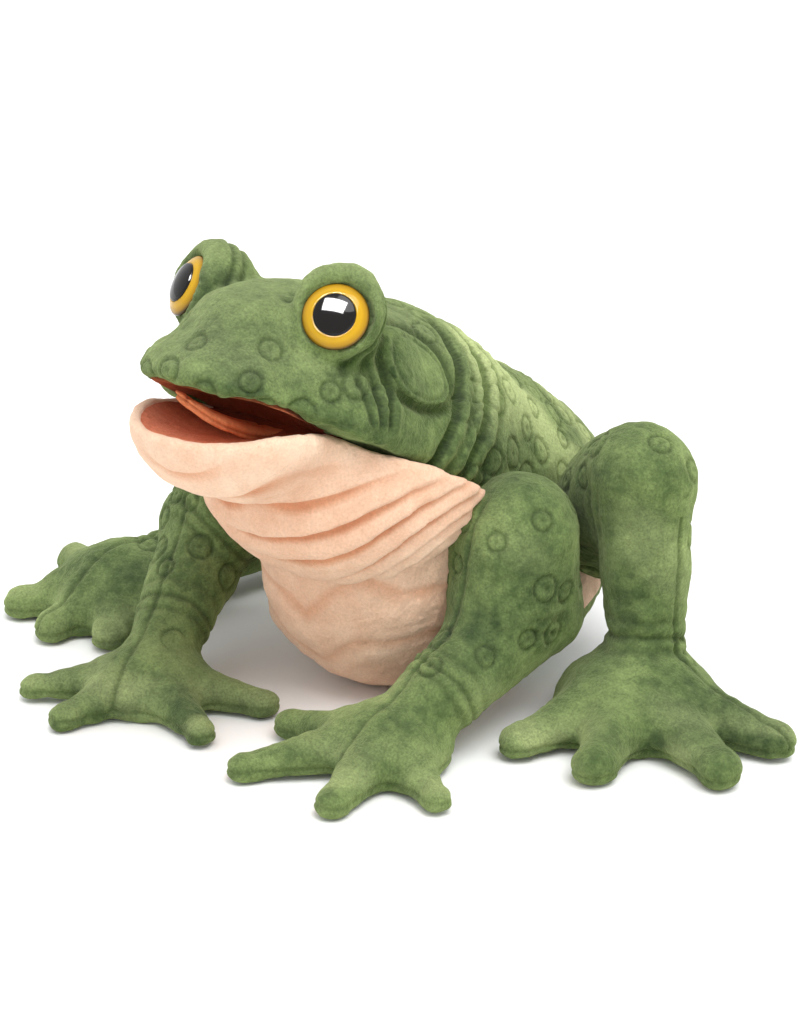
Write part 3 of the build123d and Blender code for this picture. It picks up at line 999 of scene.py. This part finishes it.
def leg_field(leg, size):
    (a, b, c), (ra, rb, rc) = joints_of(leg)
    palm = at(*leg["palm"], size["rise"])

    def field(p):
        tube = join(7, cone(p, a, ra, b, rb), cone(p, b, rb, c, rc))
        tube = join(12, tube, ball(p, *leg["bulge"]))
        whole = join(9, cone(p, c, rc - 1, palm, size["rise"] + 4), oval(p, palm - (0, 0, 4), size["palm"]))
        for tip in leg["tips"]:
            end = at(*tip, 0)
            way = unit(end - palm * (1, 1, 0))
            start = palm * (1, 1, 0) + 6 * way
            start[2], end = size["root"] - 2.5, end - way * size["tip"]
            end[2] = size["tip"] - 1.6
            bulb = end - 3 * way
            digit = cone(p, start, size["root"], bulb, size["tip"] * 0.92)
            whole = join(7, whole, join(4, digit, ball(p, end, size["tip"])))
        return soft_max(join(2.5, tube, whole), 0.5 - p[:, 2], 4)

    return field


def line_offset(p, a, b, side):
    """How far a point is to one side of the line from a to b, and how far along it is."""
    along = unit(at(*b) - at(*a))
    across = unit(np.cross(along, side))
    return (p - at(*a)) @ across, (p - at(*a)) @ along


def leg_relief(leg, size, seed, field):
    (a, b, c), (_, rb, rc) = joints_of(leg)
    palm = at(*leg["palm"], size["rise"])
    spread = waves(seed, 30)
    low = np.minimum(np.minimum(a, b) - 34, c - 20)
    high = np.maximum(np.maximum(a, b) + 34, c + 20)
    marks = scattered(seed, 30, low, high, 5.2, field)

    def relief(p, n):
        out = rings(p, marks) * fade(p[:, 2], 24, 34)
        inner, outer = np.linalg.norm(p - b, axis=1), np.linalg.norm(p - c, axis=1)
        upper, lower = unit(b - a), unit(c - b)
        bend = unit(upper - lower)
        elbow = (p - b) @ unit(upper + lower)
        near = np.exp(-((inner / (rb * 1.5)) ** 4))
        for place, depth in ((-7, 1.1), (0, 1.5), (7, 1.1)):
            curve = elbow - place - 0.012 * ((p - b) @ bend) ** 2 + 0.8 * spread(p)
            out += groove(curve, 1.7, depth) * near * fade(-(p - b) @ bend, -6, 12)
        wrist = (p - c) @ unit(unit(palm - c) + lower)
        for place, depth in ((-8, 0.8), (0, 1.4), (6, 0.9)):
            ripple = wrist - place + 1.3 * spread(p * 1.4)
            out += groove(ripple, 1.6, depth) * np.exp(-((outer / (rc * 1.55)) ** 4))
        offset, run = line_offset(p, b, c, (0, 0, 1))
        out += groove(offset - 4, 1.2, 1.0) * fade(run, 2, 10) * (n[:, 2] > -0.1)
        out += groove(p[:, 2] - SOLE_SEAM, 1.1, 0.7)
        return out

    return relief


# Painted light on the paws near the floor, strongest where they face up, and paler patches of cloth all over.
def leg_pale_and_lit(p, n):
    low = fade(-p[:, 2], -26, -8)
    return 0.36 * low * fade(DUSK_WAVES(p) + n[:, 2], 0.2, 1.6) + 0.20 * fade(PALE_WAVES(p), 0.3, 1.5)


def blend_line(before, r0, way0, after, r1, way1):
    """Start and end of a bend that leaves the rings of skin before and after a joint whole."""
    along = unit(way0 + way1)
    middle = (before + after) / 2
    ahead, behind = (before - middle) @ along, (after - middle) @ along
    start = ahead + r0 * math.sqrt(max(0, 1 - (way0 @ along) ** 2))
    end = behind - r1 * math.sqrt(max(0, 1 - (way1 @ along) ** 2))
    return middle + start * along, middle + end * along


def make_leg(name, leg, seed):
    kind, side = name.split("_")
    size = HAND if kind == "hand" else FOOT
    upper, lower, end = (f"{part}_{side}" for part in size["parts"])
    field = leg_field(leg, size)
    (a, b, c), (ra, rb, rc) = joints_of(leg)
    points = np.array([a, b, c] + [(*tip, 0) for tip in leg["tips"]], float)
    low, high = points.min(0) - 36, points.max(0) + 36
    low[2] = -6
    whole = skin(name, field, low, high, leg_relief(leg, size, seed, field), leg_pale_and_lit)
    palm = at(*leg["palm"], size["rise"])
    way0, way1, way2 = unit(b - a), unit(c - b), unit(palm - c)
    split = b + leg["split"] * (c - b)
    split_r = rb + leg["split"] * (rc - rb)
    top = far_half(whole, f"{upper}_plush", split, way1, palm, False)
    dress(top, GREEN, "green_plush", [upper, f"{upper}_stuffing", lower, f"{lower}_stuffing"])
    start, stop = blend_line(a, ra, way0, split, split_r, way1)
    row(start)
    row(stop)
    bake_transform(top)
    start, stop = blend_line(split, split_r, way1, palm - 4 * way2, size["rise"], way2)
    paw = far_half(whole, f"{end}_whole", split, way1, palm)
    for piece, nodes, plane in (
        (f"{end}_plush", [f"{end}_top", f"{end}_stuffing"], (at(0, 0, SOLE_SEAM), at(0, 0, 1))),
        (f"{end}_sole_plush", [f"{end}_sole"], (at(0, 0, SOLE_SEAM), at(0, 0, -1))),
    ):
        part = cut(paw, piece, plane)
        dress(part, GREEN, "green_plush", nodes)
        row(start)
        row(stop)
        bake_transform(part)
    drop(paw)
    drop(whole)


# ---- making it -----------------------------------------------------------------------------------------
make_body()
make_opening()
make_pouch()
make_mouth()
make_tongue()
make_pockets()
for one_side in SIDES:
    make_ear(one_side)
    make_eye(one_side)
for number, (leg_name, one_leg) in enumerate(LEGS.items()):
    make_leg(leg_name, one_leg, 60 + number)


# ---- stage, light and camera -----------------------------------------------------------------------------
def make_stage():
    size = 40.0  # metres, so that its edge is out of sight
    mesh = bpy.data.meshes.new("floor")
    corners = [(-size, -size, 0), (size, -size, 0), (size, size, 0), (-size, size, 0)]
    mesh.from_pydata(corners, [], [(0, 1, 2, 3)])
    floor = bpy.data.objects.new("floor", mesh)
    bpy.context.scene.collection.objects.link(floor)
    material, _, _, shader = shader_of("floor_paint")
    set_inputs(shader, {"Base Color": (0.93, 0.93, 0.93, 1), "Roughness": 0.9, "Specular IOR Level": 0.1})
    mesh.materials.append(material)
    world = bpy.data.worlds.new("studio")
    world.use_nodes = True
    background = world.node_tree.nodes["Background"]
    set_inputs(background, {"Color": (1, 1, 1, 1), "Strength": 1.0})
    bpy.context.scene.world = world


def softbox(name, place, target, size, power):
    data = bpy.data.lights.new(name, "AREA")
    data.shape, data.size, data.size_y, data.energy = "RECTANGLE", size[0], size[1], power
    lamp = bpy.data.objects.new(name, data)
    bpy.context.scene.collection.objects.link(lamp)
    lamp.location = Vector(place)
    lamp.rotation_euler = (Vector(target) - Vector(place)).to_track_quat("-Z", "Y").to_euler()
    return lamp


def overhead(name, way, strength, spread):
    data = bpy.data.lights.new(name, "SUN")
    data.energy, data.angle = strength, math.radians(spread)
    lamp = bpy.data.objects.new(name, data)
    bpy.context.scene.collection.objects.link(lamp)
    lamp.rotation_euler = Vector(way).to_track_quat("Z", "Y").to_euler()


def make_lights():
    overhead("key", (0.42, -0.16, 1.0), 2.1, 40)
    glint = softbox("glint", (0.2, -0.75, 1.45), (0, 0, 0.1), (1.1, 0.65), 200)
    glint.visible_diffuse = False  # it only shows in the eyes


def make_camera():
    data = bpy.data.cameras.new("camera")
    data.lens, data.sensor_width = 85, 36
    camera = bpy.data.objects.new("camera", data)
    bpy.context.scene.collection.objects.link(camera)
    azimuth, elevation, distance = math.radians(38), math.radians(20), 1063.8
    target = at(33, 0, 97)
    level = math.cos(elevation)
    away = at(math.sin(azimuth) * level, -math.cos(azimuth) * level, math.sin(elevation))
    camera.location = row(target + distance * away)
    camera.rotation_euler = Vector(-away).to_track_quat("-Z", "Y").to_euler()
    bpy.context.scene.camera = camera


make_stage()
make_lights()
make_camera()
bpy.context.scene.view_settings.view_transform = "Standard"
